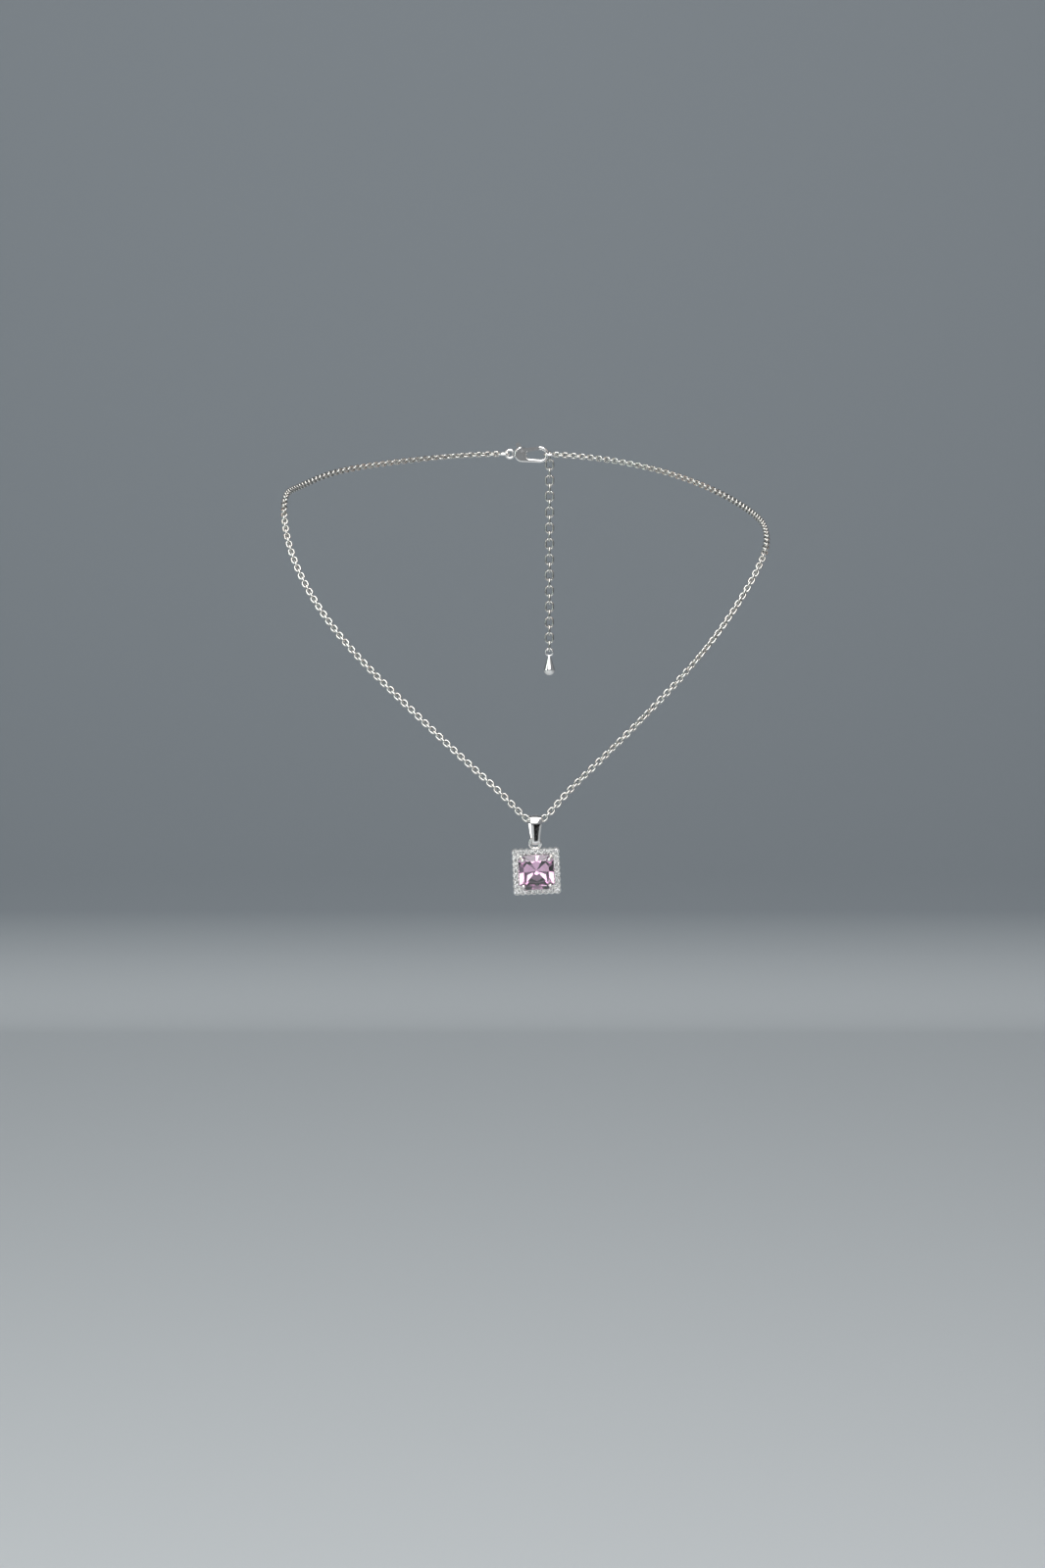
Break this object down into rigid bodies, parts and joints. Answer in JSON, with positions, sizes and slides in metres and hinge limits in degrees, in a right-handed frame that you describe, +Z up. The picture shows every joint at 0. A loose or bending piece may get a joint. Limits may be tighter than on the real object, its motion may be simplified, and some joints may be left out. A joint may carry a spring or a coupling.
{
  "type": "pendant necklace",
  "caption": "Fine cable-chain necklace with a square halo pendant on a tapered bail, closed behind by a lobster clasp with an extender.",
  "frame": {"origin": "centre of the neck opening, level with the sides of the neck", "axes": "+X to the right seen from the front, -Y the way the pendant faces, +Z up along the neck"},
  "size_m": [0.1088, 0.113, 0.0879],
  "materials": {
    "silver_chain": "polished silver",
    "silver_cast": "polished silver",
    "spring_steel": "drawn wire",
    "white_stone": "cut and polished",
    "pink_stone": "cut and polished"
  },
  "bodies": {
    "collar": {"shoulder_left": "silver_chain", "shoulder_right": "silver_chain"},
    "front_1": {"front_left_1": "silver_chain", "front_right_1": "silver_chain"},
    "front_2": {"front_left_2": "silver_chain", "front_right_2": "silver_chain"},
    "front_3": {"front_left_3": "silver_chain", "front_right_3": "silver_chain"},
    "front_4": {"front_left_4": "silver_chain", "front_right_4": "silver_chain"},
    "front_5": {"front_left_5": "silver_chain", "front_right_5": "silver_chain"},
    "front_6": {"front_left_6": "silver_chain", "front_right_6": "silver_chain"},
    "bottom": {"chain_bottom": "silver_chain"},
    "bail": {"bail": "silver_cast"},
    "pendant": {"halo_tray": "silver_cast", "setting_basket": "silver_cast", "centre_stone": "pink_stone", "top_ring": "silver_cast", "halo_stones_top": "white_stone", "halo_stones_right": "white_stone", "halo_stones_bottom": "white_stone", "halo_stones_left": "white_stone"},
    "back_1": {"back_left_1": "silver_chain", "back_right_1": "silver_chain"},
    "back_2": {"back_left_2": "silver_chain", "back_right_2": "silver_chain"},
    "back_3": {"back_left_3": "silver_chain", "back_right_3": "silver_chain", "end_ring_left": "silver_cast", "end_ring_right": "silver_cast"},
    "clasp": {"clasp_body": "silver_cast", "clasp_pin": "spring_steel", "clasp_spring": "spring_steel"},
    "lever": {"clasp_lever": "silver_cast"},
    "tail_1": {"extender_1": "silver_cast"},
    "tail_2": {"extender_2": "silver_cast"},
    "tail_3": {"extender_3": "silver_cast"},
    "drop": {"extender_drop": "silver_cast"}
  },
  "joints": [
    {"name": "front_bend_1", "type": "hinge", "parent": "collar", "child": "front_1", "pos_m": [0, -0.00387, -0.00175], "axis": [-0.9986, 0.0044, 0.0518], "range_deg": [0, 15]},
    {"name": "front_bend_2", "type": "hinge", "parent": "front_1", "child": "front_2", "pos_m": [-0.00026, -0.01316, -0.01033], "axis": [-0.9996, 0.0115, 0.0267], "range_deg": [0, 15]},
    {"name": "front_bend_3", "type": "hinge", "parent": "front_2", "child": "front_3", "pos_m": [-0.00022, -0.01993, -0.01985], "axis": [-0.9998, 0.0073, 0.0186], "range_deg": [0, 15]},
    {"name": "front_bend_4", "type": "hinge", "parent": "front_3", "child": "front_4", "pos_m": [0.0002, -0.02609, -0.02861], "axis": [-0.9999, 0.002, 0.0157], "range_deg": [0, 15]},
    {"name": "front_bend_5", "type": "hinge", "parent": "front_4", "child": "front_5", "pos_m": [0.00075, -0.03107, -0.03712], "axis": [-0.9999, -0.0028, 0.0146], "range_deg": [0, 15]},
    {"name": "front_bend_6", "type": "hinge", "parent": "front_5", "child": "front_6", "pos_m": [0.00127, -0.03525, -0.04565], "axis": [-0.9999, -0.0093, 0.009], "range_deg": [0, 15]},
    {"name": "bottom_bend", "type": "hinge", "parent": "front_6", "child": "bottom", "pos_m": [0.00181, -0.03918, -0.05409], "axis": [-0.9997, -0.0229, -0.0098], "range_deg": [0, 15]},
    {"name": "bail_swing", "type": "hinge", "parent": "bottom", "child": "bail", "pos_m": [0.00195, -0.0415, -0.0602], "axis": [-1, 0, 0], "range_deg": [0, 60]},
    {"name": "pendant_sway", "type": "hinge", "parent": "bail", "child": "pendant", "pos_m": [0.002, -0.04232, -0.06477], "axis": [0, -0.9986, -0.0523], "range_deg": [-35, 35]},
    {"name": "back_lift_1", "type": "hinge", "parent": "collar", "child": "back_1", "pos_m": [0.00001, 0.00832, 0.00175], "axis": [0.9979, 0.0012, -0.0649], "range_deg": [0, 15]},
    {"name": "back_lift_2", "type": "hinge", "parent": "back_1", "child": "back_2", "pos_m": [0.00001, 0.03394, 0.00421], "axis": [0.9987, -0.0006, -0.0513], "range_deg": [0, 15]},
    {"name": "back_lift_3", "type": "hinge", "parent": "back_2", "child": "back_3", "pos_m": [0.00015, 0.0548, 0.00713], "axis": [0.9996, -0.0043, -0.0284], "range_deg": [0, 15]},
    {"name": "clasp_roll", "type": "hinge", "parent": "back_3", "child": "clasp", "pos_m": [0.00113, 0.06599, 0.00886], "axis": [0.9999, -0.006, -0.0103], "range_deg": [-15, 15]},
    {"name": "clasp_lever_open", "type": "hinge", "parent": "clasp", "child": "lever", "pos_m": [-0.00086, 0.066, 0.00973], "axis": [0.006, 1, -0.0001], "range_deg": [0, 20], "stiffness_Nm_per_rad": 0.00005, "springref_deg": -28.65},
    {"name": "tail_lift", "type": "hinge", "parent": "back_3", "child": "tail_1", "pos_m": [0.00591, 0.06738, 0.00881], "axis": [0.9999, -0.006, -0.0103], "range_deg": [0, 60]},
    {"name": "tail_sway", "type": "hinge", "parent": "tail_1", "child": "tail_2", "pos_m": [0.00591, 0.06738, -0.00866], "axis": [0, 1, 0], "range_deg": [-20, 20]},
    {"name": "tail_curl", "type": "hinge", "parent": "tail_2", "child": "tail_3", "pos_m": [0.00591, 0.06738, -0.02224], "axis": [1, 0, 0], "range_deg": [0, 20]},
    {"name": "drop_sway", "type": "hinge", "parent": "tail_3", "child": "drop", "pos_m": [0.00591, 0.06738, -0.0397], "axis": [0, 1, 0], "range_deg": [-20, 20]}
  ]
}
